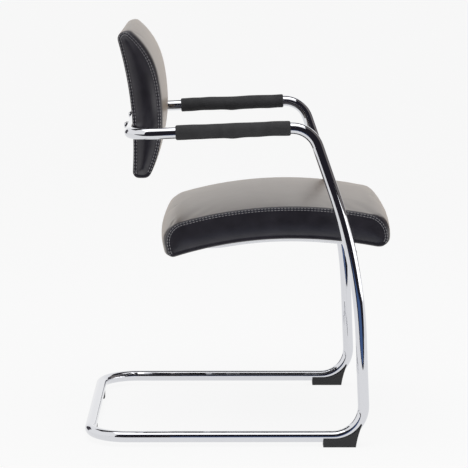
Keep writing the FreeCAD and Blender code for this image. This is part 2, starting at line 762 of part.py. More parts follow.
saddle_y = back_axis.y + tube_radius + size("saddle_thickness")
saddle_box = rounded_block(
    Vector(-size("saddle_length") / 2, back_axis.y + tube_radius / 2, back_axis.z - size("saddle_width") / 2),
    Vector(size("saddle_length") / 2, saddle_y, back_axis.z + size("saddle_width") / 2),
    size("saddle_corner"),
    Vector(0, 1, 0),
)
saddle_shifts = [Placement(Vector(side * size("back_bolt_place"), 0, 0), Rotation()) for side in (-1, 1)]
saddle_bore = Part.makeCylinder(tube_radius + size("fit_gap") / 3, 2 * half_width,
                                Vector(-half_width, back_axis.y, back_axis.z), Vector(1, 0, 0))
saddles = copies(saddle_box, saddle_shifts).cut([saddle_bore] + back_bolt_holes)
node("back_saddle_washers", saddles)
back_bolt_length = saddle_y - nut_y + size("nut_flange_thickness")
back_bolt = dome_bolt("back_bolt", back_bolt_length)
node("back_bolts", copies(back_bolt, at_back_bolts(saddle_y)))

# Armpads

armpad_body = doc.addObject("PartDesign::Body", "right_armpad")
armpad_body.Label = "right_armpad"


def origin_plane(body, role):
    """One of a body's own origin planes."""
    return next(item for item in body.Origin.OriginFeatures if item.Role == role)


def ring_sketch(body, name, expression):
    """A circle round the body's X axis, with its radius tied to the sheet."""
    sketch = body.newObject("Sketcher::SketchObject", name)
    sketch.AttachmentSupport = [(origin_plane(body, "YZ_Plane"), "")]
    sketch.MapMode = "FlatFace"
    sketch.addGeometry(Part.Circle(Vector(0, 0, 0), Vector(0, 0, 1), tube_radius), False)
    sketch.addConstraint(Sketcher.Constraint("Coincident", 0, 3, -1, 1))
    sketch.addConstraint(Sketcher.Constraint("Radius", 0, tube_radius))
    sketch.setExpression("Constraints[1]", expression)
    return sketch


armpad_sleeve = armpad_body.newObject("PartDesign::Pad", "armpad_sleeve")
armpad_sleeve.Profile = ring_sketch(armpad_body, "armpad_outline", "Sizes.armpad_diameter / 2")
bind(armpad_sleeve, Length="Sizes.armpad_length")
doc.recompute()
rims = ["Edge%d" % i for i, edge in enumerate(armpad_sleeve.Shape.Edges, start=1) if edge.Closed]
armpad_rims = armpad_body.newObject("PartDesign::Fillet", "armpad_rims")
armpad_rims.Base = (armpad_sleeve, rims)
bind(armpad_rims, Radius="Sizes.armpad_end_radius")
armpad_swell = armpad_body.newObject("PartDesign::AdditiveEllipsoid", "armpad_swell")
bind(
    armpad_swell,
    **{
        "Radius1": "Sizes.armpad_swell_depth",
        "Radius2": "Sizes.armpad_swell_length / 2",
        "Radius3": "Sizes.armpad_swell_width / 2",
        "Placement.Base.x": "Sizes.armpad_length / 2",
        "Placement.Base.z": "Sizes.armpad_swell_depth - Sizes.armpad_diameter / 2 - Sizes.armpad_swell_height",
    }
)
doc.recompute()
armpad_bore = armpad_body.newObject("PartDesign::Pocket", "armpad_bore")
armpad_bore.Profile = ring_sketch(armpad_body, "armpad_bore_outline",
                                  "Sizes.tube_diameter / 2 + Sizes.fit_gap / 3")
armpad_bore.Type = "ThroughAll"
armpad_bore.Midplane = True
doc.recompute()

slope = radians("arm_slope")
arm_corner = frame_corners(-1)[4]
arm_turn = math.pi / 2 - radians("upper_lean") + slope
bend_end = arm_corner.y + size("arm_bend_radius") * math.tan(arm_turn / 2) * math.cos(slope)
pad_end = bend_end + (size("armpad_setback") + size("armpad_length")) * math.cos(slope)
along_rail = Rotation(Vector(0, 0, 1), -90)
rail_tilt = Rotation(Vector(1, 0, 0), -math.degrees(slope))
armpad_body.Placement = Placement(
    Vector(-half_width, pad_end, arm_axis_height(pad_end)),
    rail_tilt.multiply(along_rail),
)
doc.recompute()
node("left_armpad", mirrored(armpad_body.Shape))

# Front glides


def front_glide():
    """The wedge under the foot bend of the right tube."""
    foot = frame_corners(-1)[2]
    lean = radians("lower_lean")
    bend = size("foot_bend_radius")
    centre_y = foot.y + bend * math.tan((math.pi / 2 - lean) / 2)
    centre_z = foot.z + bend
    rim = bend + size("glide_rim_drop")
    rear = size("glide_rear")
    toe = size("glide_toe")
    tip_angle = radians("glide_tip_angle")
    level = foot.z - size("glide_rim_drop")

    def point(y, z):
        return Vector(-half_width, y, z)

    def on_rim(angle):
        return point(centre_y - rim * math.sin(angle), centre_z - rim * math.cos(angle))

    turn = math.pi / 2 - tip_angle
    tip = on_rim(turn)
    front_middle = (tip + point(toe, 0)) / 2 + point(size("glide_front_hollow"), 0) - point(0, 0)
    edges = [
        Part.LineSegment(point(toe, 0), point(rear, 0)),
        Part.LineSegment(point(rear, 0), point(rear, level)),
        Part.LineSegment(point(rear, level), on_rim(0)),
        Part.Arc(on_rim(0), on_rim(turn / 2), tip),
        Part.Arc(tip, front_middle, point(toe, 0)),
    ]
    face = Part.Face(Part.Wire([edge.toShape() for edge in edges]))
    width = size("glide_width")
    face.translate(Vector(-width / 2, 0, 0))
    wedge = face.extrude(Vector(width, 0, 0))
    clearance = rod(right_path, tube_radius + size("fit_gap") / 2)
    peg_top = size("runner_height") - tube_radius + size("tube_wall") + size("peg_reach")
    peg = Part.makeCylinder(size("peg_diameter") / 2, peg_top - size("fit_gap"),
                            Vector(-half_width, size("glide_peg_place"), size("fit_gap")))
    return wedge.cut(clearance).fuse(peg)


right_front_glide = front_glide()
node("right_front_glide", right_front_glide)
node("left_front_glide", mirrored(right_front_glide))

# Rear glides


def rear_glide():
    """The low saddle under the right half of the rear bar."""
    length = size("rear_glide_length")
    width = size("rear_glide_width")
    x = -size("rear_glide_place")
    block = rounded_block(
        Vector(x - length / 2, base_rear - width / 2, 0),
        Vector(x + length / 2, base_rear + width / 2, size("rear_glide_top")),
        size("rear_glide_radius"),
        Vector(0, 0, 1),
    )
    bar = Part.makeCylinder(tube_radius + size("fit_gap") / 2, 2 * length,
                            Vector(x - length, base_rear, size("runner_height")), Vector(1, 0, 0))
    peg_top = size("runner_height") - tube_radius + size("tube_wall") + size("peg_reach")
    peg = Part.makeCylinder(size("peg_diameter") / 2, peg_top - size("fit_gap"),
                            Vector(x, base_rear, size("fit_gap")))
    return block.cut(bar).fuse(peg)


right_rear_glide = rear_glide()
node("right_rear_glide", right_rear_glide)
node("left_rear_glide", mirrored(right_rear_glide))

doc.recompute()

# Check and export

NODES = (
    "right_frame_tube",
    "left_frame_tube",
    "base_joint_sleeve",
    "back_joint_sleeve",
    "seat_cross_tube",
    "seat_support_loop",
    "seat_mounting_plates",
    "seat_washers",
    "seat_bolts",
    "seat_tee_nuts",
    "seat_base_board",
    "seat_dust_cover",
    "seat_cushion",
    "back_inner_shell",
    "back_rear_panel",
    "back_cushion",
    "back_tee_nuts",
    "back_saddle_washers",
    "back_bolts",
    "right_armpad",
    "left_armpad",
    "right_front_glide",
    "left_front_glide",
    "right_rear_glide",
    "left_rear_glide",
)

for item in doc.Objects:
    if "Invalid" in item.State or "Error" in item.State:
        raise RuntimeError("object failed: " + item.Label)

os.makedirs("parts", exist_ok=True)
for label in NODES:
    piece = doc.getObjectsByLabel(label)[0]
    shape = piece.Shape
    if shape.isNull() or not shape.isValid():
        raise RuntimeError("bad shape: " + label)
    print(label, len(shape.Solids), "solids", round(shape.Volume / 1000, 2), "cm3")
    shape.exportStep("parts/" + label + ".step")

tube_section = math.pi * (tube_radius ** 2 - (tube_radius - size("tube_wall")) ** 2)
print("frame tube volume over section times length:",
      round(right_rod.cut(right_bore).Volume / (tube_section * right_path.Length), 4))
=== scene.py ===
# %% [markdown]
# # Cantilever visitor chair
# A bent chrome tube carries a stuffed leather seat and a stuffed leather back.
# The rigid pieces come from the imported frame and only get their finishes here.
# The stuffed pieces are modelled here, because leather over foam has a crown,
# drawn-in seams and stitches that a plain solid lacks.
# Lengths are metres. The sitter looks along -Y, and the floor is z = 0.

# %% Load the frame
import bmesh
import bpy
import math
from mathutils import Matrix, Vector, bvhtree, kdtree, noise


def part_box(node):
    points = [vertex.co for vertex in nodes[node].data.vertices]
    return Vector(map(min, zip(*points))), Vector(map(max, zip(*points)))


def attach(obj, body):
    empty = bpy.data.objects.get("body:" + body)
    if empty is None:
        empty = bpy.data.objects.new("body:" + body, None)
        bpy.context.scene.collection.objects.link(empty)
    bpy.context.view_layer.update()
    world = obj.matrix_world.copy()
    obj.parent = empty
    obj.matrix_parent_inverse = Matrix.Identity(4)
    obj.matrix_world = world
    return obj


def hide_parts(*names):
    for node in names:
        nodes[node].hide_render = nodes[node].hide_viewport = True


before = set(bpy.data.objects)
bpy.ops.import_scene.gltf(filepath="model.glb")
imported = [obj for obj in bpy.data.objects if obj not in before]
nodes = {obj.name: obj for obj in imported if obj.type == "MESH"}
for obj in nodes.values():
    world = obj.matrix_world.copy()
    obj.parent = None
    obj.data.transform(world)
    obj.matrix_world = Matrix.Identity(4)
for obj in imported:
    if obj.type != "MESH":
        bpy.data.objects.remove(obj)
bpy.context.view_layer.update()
scene = bpy.context.scene
scene.view_settings.view_transform = "Standard"
MM = 0.001

# %% [markdown]
# ## Camera
# The photograph is a long-lens side view from a little above the arm rails.
# A long lens keeps the near and the far side of the frame almost the same size.

# %% Camera
CAMERA_PLACE = (-4.3405, 0.0253, 1.0690)
PITCH = 0.159037  # radians, downwards
YAW = -0.00416  # radians
camera_data = bpy.data.cameras.new("side_view")
camera_data.sensor_width = 36.0
camera_data.lens = 166.67
camera_data.clip_end = 100.0
camera = bpy.data.objects.new("side_view", camera_data)
camera.location = CAMERA_PLACE
aim = Vector((math.cos(PITCH) * math.cos(YAW), math.cos(PITCH) * math.sin(YAW),
              -math.sin(PITCH)))
camera.rotation_euler = aim.to_track_quat("-Z", "Y").to_euler()
scene.collection.objects.link(camera)
scene.camera = camera
print("camera at", tuple(round(c, 3) for c in camera.location))

# %% [markdown]
# ## Node helper and colours
# Every finish is a small node tree. One function adds a node with its settings
# and its links, and one function turns a written sRGB colour into linear light.

# %% Node helper and colours


def linear(code):
    """An sRGB hex colour as linear RGBA."""
    parts = [int(code[i:i + 2], 16) / 255 for i in (1, 3, 5)]
    return [c / 12.92 if c <= 0.04045 else ((c + 0.055) / 1.055) ** 2.4 for c in parts] + [1.0]


def add_node(tree, kind, links=None, **settings):
    """Add a node; settings are socket values or properties, links feed its inputs."""
    made = tree.nodes.new(kind)
    for name, value in settings.items():
        if hasattr(made, name):
            setattr(made, name, value)
        else:
            made.inputs[name.replace("_", " ")].default_value = value
    for name, source in (links or {}).items():
        tree.links.new(source, made.inputs[name])
    return made


def finish_named(name):
    """An empty material with its output node and an Object coordinate."""
    material = bpy.data.materials.new(name)
    material.use_nodes = True
    material.node_tree.nodes.clear()
    tree = material.node_tree
    output = add_node(tree, "ShaderNodeOutputMaterial")
    place = add_node(tree, "ShaderNodeTexCoord").outputs["Object"]
    return material, tree, output, place


def ramp(tree, source, stops):
    """A colour ramp from a factor, with stops given as (position, colour)."""
    made = add_node(tree, "ShaderNodeValToRGB", {"Fac": source})
    elements = made.color_ramp.elements
    while len(elements) < len(stops):
        elements.new(0.5)
    for element, (position, colour) in zip(elements, stops):
        element.position = position
        element.color = colour
    return made.outputs["Color"]


def grey(level):
    """A plain linear grey."""
    return [level, level, level, 1.0]


print("sRGB #808080 in linear light:", round(linear("#808080")[0], 4))

# %% [markdown]
# ## Floor and light
# The chair stands in a white photo studio. The floor and the world are white to
# the camera and to reflections, and dimmer in the light that they give.
# Cards that only reflections see stand round the chair, lie in front of it and
# hang above the backdrop. They are what chrome needs: the black ones draw the long
# dark lines that make a tube look like metal, and the grey and blue ones soften them.

# %% Floor and light
PAPER_GLOW = 0.88  # share of the paper that shows as pure white
WORLD_LIGHT = 0.50  # strength of the white world as a lamp


def seen_share(tree):
    """1 for camera, glossy and transmission rays, 0 for light that bounces."""
    rays = add_node(tree, "ShaderNodeLightPath")
    seen = rays.outputs["Is Camera Ray"]
    for kind in ("Is Glossy Ray", "Is Transmission Ray"):
        larger = add_node(tree, "ShaderNodeMath", {0: seen, 1: rays.outputs[kind]},
                          operation="MAXIMUM")
        seen = larger.outputs[0]
    return seen


floor_mesh = bpy.data.meshes.new("floor")
shape = bmesh.new()
bmesh.ops.create_grid(shape, x_segments=1, y_segments=1, size=60.0)
shape.to_mesh(floor_mesh)
shape.free()
floor = bpy.data.objects.new("floor", floor_mesh)
scene.collection.objects.link(floor)

paper, tree, output, place = finish_named("white_studio_paper")
share = add_node(tree, "ShaderNodeMath", {0: seen_share(tree)}, operation="MULTIPLY")
share.inputs[1].default_value = PAPER_GLOW
matt = add_node(tree, "ShaderNodeBsdfDiffuse", Color=grey(0.85))
glow = add_node(tree, "ShaderNodeEmission", Color=grey(1.0))
mixed = add_node(tree, "ShaderNodeMixShader",
                 {0: share.outputs[0], 1: matt.outputs[0], 2: glow.outputs[0]})
tree.links.new(mixed.outputs[0], output.inputs["Surface"])
floor_mesh.materials.append(paper)

world = bpy.data.worlds.new("white_studio")
scene.world = world
world.use_nodes = True
tree = world.node_tree
tree.nodes.clear()
level = add_node(tree, "ShaderNodeMapRange", {0: seen_share(tree)})
level.inputs["To Min"].default_value = WORLD_LIGHT
level.inputs["To Max"].default_value = 1.0
sky = add_node(tree, "ShaderNodeBackground", {"Strength": level.outputs[0]}, Color=grey(1.0))
add_node(tree, "ShaderNodeOutputWorld", {"Surface": sky.outputs[0]})


def softbox(name, place_at, aim_at, width, height, watts):
    """A rectangular area lamp that looks at a point."""
    lamp = bpy.data.lights.new(name, "AREA")
    lamp.shape = "RECTANGLE"
    lamp.size = width
    lamp.size_y = height
    lamp.energy = watts
    holder = bpy.data.objects.new(name, lamp)
    holder.location = place_at
    towards = Vector(aim_at) - Vector(place_at)
    holder.rotation_euler = towards.to_track_quat("-Z", "Y").to_euler()
    scene.collection.objects.link(holder)


softbox("overhead_softbox", (-0.6, 0.0, 2.8), (0.0, 0.0, 0.4), 2.6, 2.6, 26.0)
softbox("front_strip", (-1.5, -2.6, 0.45), (0.0, 0.0, 0.45), 1.2, 0.7, 4.5)
softbox("front_fill", (-0.4, -3.2, 0.45), (0.0, 0.0, 0.45), 2.4, 0.8, 7.0)


def reflected_card(name, card, material):
    """A studio card that only reflections see."""
    mesh = bpy.data.meshes.new(name)
    card.to_mesh(mesh)
    card.free()
    holder = bpy.data.objects.new(name, mesh)
    scene.collection.objects.link(holder)
    holder.visible_camera = False
    holder.visible_diffuse = False
    holder.visible_shadow = False
    mesh.materials.append(material)


def flat_card(size_x, size_y, centre):
    """A level card as a bmesh."""
    card = bmesh.new()
    bmesh.ops.create_grid(card, x_segments=1, y_segments=1, size=0.5)
    bmesh.ops.scale(card, vec=(size_x, size_y, 1), verts=card.verts[:])
    bmesh.ops.translate(card, vec=centre, verts=card.verts[:])
    return card


def curved_card(radius, low, high, start, sweep):
    """An upright card round the chair, from one azimuth through a sweep in degrees."""
    card = bmesh.new()
    first = [card.verts.new((radius, 0, low)), card.verts.new((radius, 0, high))]
    edge = card.edges.new(first)
    turn = Matrix.Rotation(math.radians(start), 3, "Z")
    bmesh.ops.rotate(card, cent=(0, 0, 0), matrix=turn, verts=first)
    bmesh.ops.spin(card, geom=first + [edge], cent=(0, 0, 0), axis=(0, 0, 1),
                   dvec=(0, 0, 0), angle=math.radians(sweep), steps=24,
                   use_merge=False, use_duplicate=False)
    return card


def card_paint(name, colour, strength):
    """A plain glowing paint for a card."""
    paint, tree, output, place = finish_named(name)
    card_glow = add_node(tree, "ShaderNodeEmission", Color=linear(colour), Strength=strength)
    tree.links.new(card_glow.outputs[0], output.inputs["Surface"])
    return paint


black_card = card_paint("black_studio_card", "#26242B", 1.0)
edge_card = card_paint("edge_studio_card", "#4A484E", 1.0)
grey_card = card_paint("grey_studio_card", "#7A7574", 1.0)
blue_card = card_paint("blue_studio_card", "#4A6390", 1.0)

ROOM_RADIUS = 6.0
ROOM_TOP = 11.0
reflected_card("front_side_card", curved_card(ROOM_RADIUS, 0.8, ROOM_TOP, 254.0, 66.0), grey_card)
for name, start in (("far_rear_card", 34.0), ("far_front_card", -58.0)):
    reflected_card(name, curved_card(5.0, 0.0, 2.4, start, 24.0), edge_card)
low_card = flat_card(0.16, 0.7, (0.0, 0.0, 0.0))
upright = Matrix.Rotation(math.pi / 2, 3, "Y")
bmesh.ops.rotate(low_card, cent=(0, 0, 0), matrix=upright, verts=low_card.verts[:])
bmesh.ops.translate(low_card, vec=(-1.0, -0.2, 0.085), verts=low_card.verts[:])
reflected_card("low_side_card", low_card, blue_card)
reflected_card("camera_side_card", curved_card(ROOM_RADIUS, 0.0, ROOM_TOP, 145.0, 109.0),
               black_card)
reflected_card("camera_floor_card", flat_card(11.0, 12.0, (-6.45, 0.0, 0.002)), black_card)
reflected_card("backdrop_card", flat_card(3.6, 8.0, (2.7, 0.0, 4.6)), black_card)

# %% [markdown]
# ## Chrome
# Bright nickel-chrome plate on drawn steel tube: a near mirror, slightly blue,
# with faint wiping marks that only show as a change of gloss.
# A metal keeps the default IOR; its colour sets how much it reflects.

# %% Chrome


def plated_metal(name, colour, low, high, mark_mm, ripple):
    """A plated metal whose roughness wanders between low and high."""
    material, tree, output, place = finish_named(name)
    marks = add_node(tree, "ShaderNodeTexNoise", {"Vector": place},
                     Scale=1 / (mark_mm * MM), Detail=4.0)
    # Noise seldom leaves the middle of its range, so that part is spread out
    gloss = add_node(tree, "ShaderNodeMapRange", {0: marks.outputs["Fac"]})
    gloss.inputs["From Min"].default_value = 0.35
    gloss.inputs["From Max"].default_value = 0.70
    gloss.inputs["To Min"].default_value = low
    gloss.inputs["To Max"].default_value = high
    bump = add_node(tree, "ShaderNodeBump", {"Height": marks.outputs["Fac"]},
                    Strength=ripple, Distance=MM)
    metal = add_node(tree, "ShaderNodeBsdfPrincipled",
                     {"Roughness": gloss.outputs[0], "Normal": bump.outputs[0]},
                     Base_Color=linear(colour), Metallic=1.0)
    tree.links.new(metal.outputs[0], output.inputs["Surface"])
    return material


chrome = plated_metal("bright_chrome_plate", "#D9DADE", 0.02, 0.07, 45.0, 0.02)
zinc = plated_metal("bright_zinc_plate", "#C9CBC8", 0.22, 0.38, 4.0, 0.05)
steel = plated_metal("bare_drawn_steel", "#8F8E8C", 0.30, 0.45, 6.0, 0.08)
print("metals:", chrome.name, zinc.name, steel.name)

# %% [markdown]
# ## Black leather
# Corrected-grain cowhide, dyed black with a violet cast, with a semi-gloss
# topcoat. Its pebble grain is about 1 mm; it is drawn at 1.4 mm so that it shows.
# Seen at a low angle the topcoat mirrors the white studio, so the top of the
# seat looks pale although the dye is black.

# %% Black leather
PEBBLE_MM = 1.4
PORE_MM = 0.5
CREASE_MM = 28


def black_leather(name, colour, gloss):
    """Dyed leather: pebbles, pores, and slow changes of gloss from handling."""
    material, tree, output, place = finish_named(name)
    warp = add_node(tree, "ShaderNodeTexNoise", {"Vector": place}, Scale=260.0, Detail=2.0)
    bent = add_node(tree, "ShaderNodeMix", {6: place, 7: warp.outputs["Color"]}, data_type="RGBA")
    bent.inputs[0].default_value = 0.004
    pebble = add_node(tree, "ShaderNodeTexVoronoi", {"Vector": bent.outputs[2]},
                      Scale=1 / (PEBBLE_MM * MM), feature="SMOOTH_F1")
    pores = add_node(tree, "ShaderNodeTexNoise", {"Vector": place},
                     Scale=1 / (PORE_MM * MM), Detail=3.0)
    creases = add_node(tree, "ShaderNodeTexNoise", {"Vector": place},
                       Scale=1 / (CREASE_MM * MM), Detail=5.0)
    height = add_node(tree, "ShaderNodeMath",
                      {0: pebble.outputs["Distance"], 1: pores.outputs["Fac"]},
                      operation="MULTIPLY_ADD")
    height.inputs[2].default_value = 0.0
    bump = add_node(tree, "ShaderNodeBump", {"Height": height.outputs[0]},
                    Strength=0.25, Distance=0.25 * MM)
    swell = add_node(tree, "ShaderNodeBump",
                     {"Height": creases.outputs["Fac"], "Normal": bump.outputs[0]},
                     Strength=0.10, Distance=3 * MM)
    wear = add_node(tree, "ShaderNodeMapRange", {0: creases.outputs["Fac"]})
    wear.inputs["To Min"].default_value = gloss - 0.05
    wear.inputs["To Max"].default_value = gloss + 0.07
    stops = [(0.35, linear(colour)), (0.75, linear("#2E2C36"))]
    dye = ramp(tree, creases.outputs["Fac"], stops)
    hide = add_node(tree, "ShaderNodeBsdfPrincipled",
                    {"Base Color": dye, "Roughness": wear.outputs[0], "Normal": swell.outputs[0]},
                    IOR=1.5, Coat_Weight=0.65, Coat_Roughness=0.28,
                    Sheen_Weight=0.30, Sheen_Roughness=0.40, Sheen_Tint=linear("#FFDDB4"))
    tree.links.new(hide.outputs[0], output.inputs["Surface"])
    return material


leather = black_leather("black_grained_leather", "#22202A", 0.42)
print("leather:", leather.name)

# %% [markdown]
# ## Foam, nylon, fleece and plywood
# The armpads are skinned foam: matt, dark grey, full of fine cells.
# The glides are moulded nylon with a spark-eroded texture.
# The sheet under the seat is spun black fleece, and the boards are beech plies.
# The thread of the seams is waxed and grey. One function makes all four matt ones.

# %% Foam, nylon, fleece and plywood
CLOUD_MM = 30


def matt_finish(name, colour, pale, rough, cell_mm, depth):
    """A matt stuff with cells, fibres or grit of a real size, and relief depth in mm."""
    material, tree, output, place = finish_named(name)
    cells = add_node(tree, "ShaderNodeTexNoise", {"Vector": place},
                     Scale=1 / (cell_mm * MM), Detail=4.0)
    clouds = add_node(tree, "ShaderNodeTexNoise", {"Vector": place},
                      Scale=1 / (CLOUD_MM * MM), Detail=3.0)
    blend = add_node(tree, "ShaderNodeMath",
                     {0: cells.outputs["Fac"], 1: clouds.outputs["Fac"]}, operation="MULTIPLY")
    tint = ramp(tree, blend.outputs[0], [(0.12, linear(colour)), (0.45, linear(pale))])
    bump = add_node(tree, "ShaderNodeBump", {"Height": cells.outputs["Fac"]},
                    Strength=0.6, Distance=depth * MM)
    body = add_node(tree, "ShaderNodeBsdfPrincipled",
                    {"Base Color": tint, "Normal": bump.outputs[0]}, Roughness=rough)
    tree.links.new(body.outputs[0], output.inputs["Surface"])
    return material


foam = matt_finish("skinned_black_foam", "#303032", "#454547", 0.85, 0.9, 0.25)
nylon = matt_finish("moulded_black_nylon", "#2A2A2C", "#38383A", 0.55, 0.4, 0.06)
fleece = matt_finish("spun_black_fleece", "#151517", "#2C2C2F", 0.95, 0.7, 0.30)
thread = matt_finish("waxed_grey_thread", "#A4A3A8", "#C6C5C9", 0.60, 0.3, 0.10)

plywood, tree, output, place = finish_named("steamed_beech_plywood")
stretched = add_node(tree, "ShaderNodeMapping", {"Vector": place}, Scale=(60.0, 900.0, 900.0))
figure = add_node(tree, "ShaderNodeTexNoise", {"Vector": stretched.outputs[0]},
                  Scale=1.0, Detail=4.0)
wood_tint = ramp(tree, figure.outputs["Fac"], [(0.3, linear("#C79F77")), (0.7, linear("#DDBB93"))])
wood = add_node(tree, "ShaderNodeBsdfPrincipled", {"Base Color": wood_tint}, Roughness=0.6)
tree.links.new(wood.outputs[0], output.inputs["Surface"])

FINISHES = {
    "right_frame_tube": chrome,
    "left_frame_tube": chrome,
    "seat_cross_tube": chrome,
    "seat_support_loop": chrome,
    "seat_mounting_plates": chrome,
    "back_saddle_washers": chrome,
    "back_bolts": chrome,
    "base_joint_sleeve": steel,
    "back_joint_sleeve": steel,
    "seat_washers": zinc,
    "seat_bolts": zinc,
    "seat_tee_nuts": zinc,
    "back_tee_nuts": zinc,
    "seat_base_board": plywood,
    "back_inner_shell": plywood,
    "seat_dust_cover": fleece,
    "right_front_glide": nylon,
    "left_front_glide": nylon,
    "right_rear_glide": nylon,
    "left_rear_glide": nylon,
}
for name, finish in FINISHES.items():
    nodes[name].data.materials.clear()
    nodes[name].data.materials.append(finish)
print("finished nodes:", len(FINISHES))

# %% [markdown]
# ## Outline of a pad
# Seen from the side, each pad is a closed chain of arcs that run into each
# other. A chain is a list of circles (y, z, radius) in millimetres, taken
# anticlockwise, and a hollow arc has a negative radius.
# Reading the chain back as points, evenly spaced along each stretch, gives the
# places that the rows of the mesh have to reach.

# %% Outline of a pad
SEAT_APEX_Y = -104.0  # where the seat's arcs are level
SEAT_LIP_Z = 397.6  # bottom edge of the seat there
SEAT_FRONT_CURVE = 878.0
SEAT_REAR_CURVE = 747.0
BACK_REAR_ARC = (959.3, 571.8, -757.0)
POINT_PITCH = 1.5


def beside(circle, radius, y=None, z=None):
    """A circle tangent to another one, from one coordinate of its centre."""
    reach = abs(circle[2] - radius)
    if y is not None:
        return (y, circle[1] + math.sqrt(reach ** 2 - (y - circle[0]) ** 2), radius)
    return (circle[0] - math.sqrt(reach ** 2 - (z - circle[1]) ** 2), z, radius)


def seat_outline():
    """The seat's side seam: lower front edge first, then the underside, rear and top."""
    front_arc = (SEAT_APEX_Y, SEAT_LIP_Z - SEAT_FRONT_CURVE, -SEAT_FRONT_CURVE)
    rear_arc = (SEAT_APEX_Y, SEAT_LIP_Z - SEAT_REAR_CURVE, -SEAT_REAR_CURVE)
    top_arc = (SEAT_APEX_Y, 460.2 - 785.0, 785.0)
    front = -290.05
    rear = 139.4
    return [
        beside(front_arc, 18.0, y=front + 18.0),
        front_arc,
        rear_arc,
        beside(rear_arc, 10.0, y=rear - 13.5),
        beside(top_arc, 40.2, y=rear - 40.2),
        top_arc,
        beside(top_arc, 45.0, y=front + 45.0),
    ]


def back_outline():
    """The back's side seam: lower front edge first, then the rear face, top and front.

    The long upper front edge lies round the small top circle and inside the
    front one, so its centre is where two distances meet.
    """
    front_arc = (560.1, 619.9, 413.0)
    lap_arc = (384.7, 619.9, 237.6)
    crest = beside(BACK_REAR_ARC, 14.3, z=780.8)
    brow = 159.0
    step = Vector((front_arc[0] - crest[0], front_arc[1] - crest[1]))
    near, far = brow - crest[2], front_arc[2] - brow
    ahead = (near ** 2 - far ** 2 + step.length ** 2) / (2 * step.length)
    aside = math.sqrt(near ** 2 - ahead ** 2)
    square = Vector((step.y, -step.x)).normalized()
    centre = Vector(crest[:2]) + step.normalized() * ahead + square * aside
    return [
        beside(lap_arc, 14.5, z=526.3),
        beside(BACK_REAR_ARC, 12.5, z=524.3),
        BACK_REAR_ARC,
        crest,
        (centre.x, centre.y, brow),
        front_arc,
        lap_arc,
    ]


def trace(circles):
    """Points along a chain as (place, outward direction), in millimetres."""
    count = len(circles)
    leaves = []
    for i in range(count):
        first, second = circles[i], circles[(i + 1) % count]
        step = Vector((second[0] - first[0], second[1] - first[1]))
        turn = math.acos(max(-1.0, min(1.0, (first[2] - second[2]) / step.length)))
        leaves.append(math.atan2(step.y, step.x) - turn)
    points = []
    for i, (y, z, radius) in enumerate(circles):
        sweep = math.remainder(leaves[i] - leaves[i - 1], 2 * math.pi)
        pieces = max(2, round(abs(sweep * radius) / POINT_PITCH))
        for k in range(pieces + 1):
            angle = leaves[i - 1] + sweep * k / pieces
            outward = Vector((math.cos(angle), math.sin(angle)))
            points.append((Vector((y, z)) + outward * radius, outward))
    return points


class Outline:
    """A closed outline that can be asked for a point at a distance along it."""

    def __init__(self, circles):
        self.points = trace(circles)
        self.places = [0.0]
        for (a, _), (b, _) in zip(self.points, self.points[1:] + self.points[:1]):
            self.places.append(self.places[-1] + (b - a).length)
        self.length = self.places[-1]

    def at(self, distance):
        """Place and outward direction at a distance along the outline."""
        distance = distance % self.length
        low, high = 0, len(self.places) - 1
        while high - low > 1:
            middle = (low + high) // 2
            if self.places[middle] <= distance:
                low = middle
            else:
                high = middle
        span = self.places[high] - self.places[low]
        share = (distance - self.places[low]) / span if span else 0.0
        a, b = self.points[low], self.points[high % len(self.points)]
        return a[0].lerp(b[0], share), a[1].lerp(b[1], share).normalized()

    def nearest(self, direction):
        """Distance along the outline where it faces most nearly a direction."""
        best = max(range(len(self.points)), key=lambda i: self.points[i][1].dot(direction))
        return self.places[best]


seat_line = Outline(seat_outline())
back_line = Outline(back_outline())
print("seam round the seat side:", round(seat_line.length), "mm; round the back side:",
      round(back_line.length), "mm")

# %% [markdown]
# ## Pad from an outline
# A stuffed pad is two side panels and one long panel that runs right round
# between them. A side panel is a grid stretched to its outline and puffed out;
# the long panel is that outline extruded to the middle, row by row, and the
# other half is a mirror image. Extruding keeps every row in line with the seam,
# so the seam, the crown and the stitches can all be placed from it.
# The first cells beside the seam are short: they hold the sharp valley of the
# seam, the flat welt under the two rows of stitches, and the dip at the second.

# %% Pad from an outline
SEAM_CELLS = (0.0, 1.2, 3.2, 5.2, 6.8, 8.4, 11.0)
WELT = 6.8
WELT_BASE = 0.4  # how far the welt stands out at its edges
WELT_ARCH = 0.7  # and how much more between its two rows of stitches
SEAM_SINK = 1.1  # how far the seam is drawn into the pad
SEAM_TUCK = 0.6  # and towards the middle


def graded(length, pitch, dense=()):
    """Shares from 0 to 1 with short cells at both ends, and in the dense spans."""
    places = list(SEAM_CELLS)
    while places[-1] < length - SEAM_CELLS[-1] - pitch / 4:
        here = places[-1]
        fine = any(low <= here <= high for low, high in dense)
        places.append(here + (pitch / 2.5 if fine else pitch))
    stretch = (length - 2 * SEAM_CELLS[-1]) / (places[-1] - SEAM_CELLS[-1])
    inner = [SEAM_CELLS[-1] + (p - SEAM_CELLS[-1]) * stretch for p in places[len(SEAM_CELLS):]]
    ends = [length - p for p in reversed(SEAM_CELLS[:-1])]
    return [p / length for p in list(SEAM_CELLS) + inner + ends]


def puff(depth, bulge, reach):
    """How far a side panel stands out at a depth inside its seam: welt, then stuffing."""
    if depth <= WELT:
        return WELT_BASE + WELT_ARCH * math.sin(math.pi * min(max(depth, 0.0) / WELT, 1.0)) ** 0.6
    return WELT_BASE + bulge * math.sin(math.pi / 2 * min((depth - WELT) / reach, 1.0))


def roll_off(x, seam_x, dome, roll):
    """Share of the crown at a distance from the middle: a roll at the seam, then a dome."""
    depth = seam_x - abs(x)
    return (1 - dome) * (1 - math.exp(-depth / roll)) + dome * (1 - (x / seam_x) ** 2)


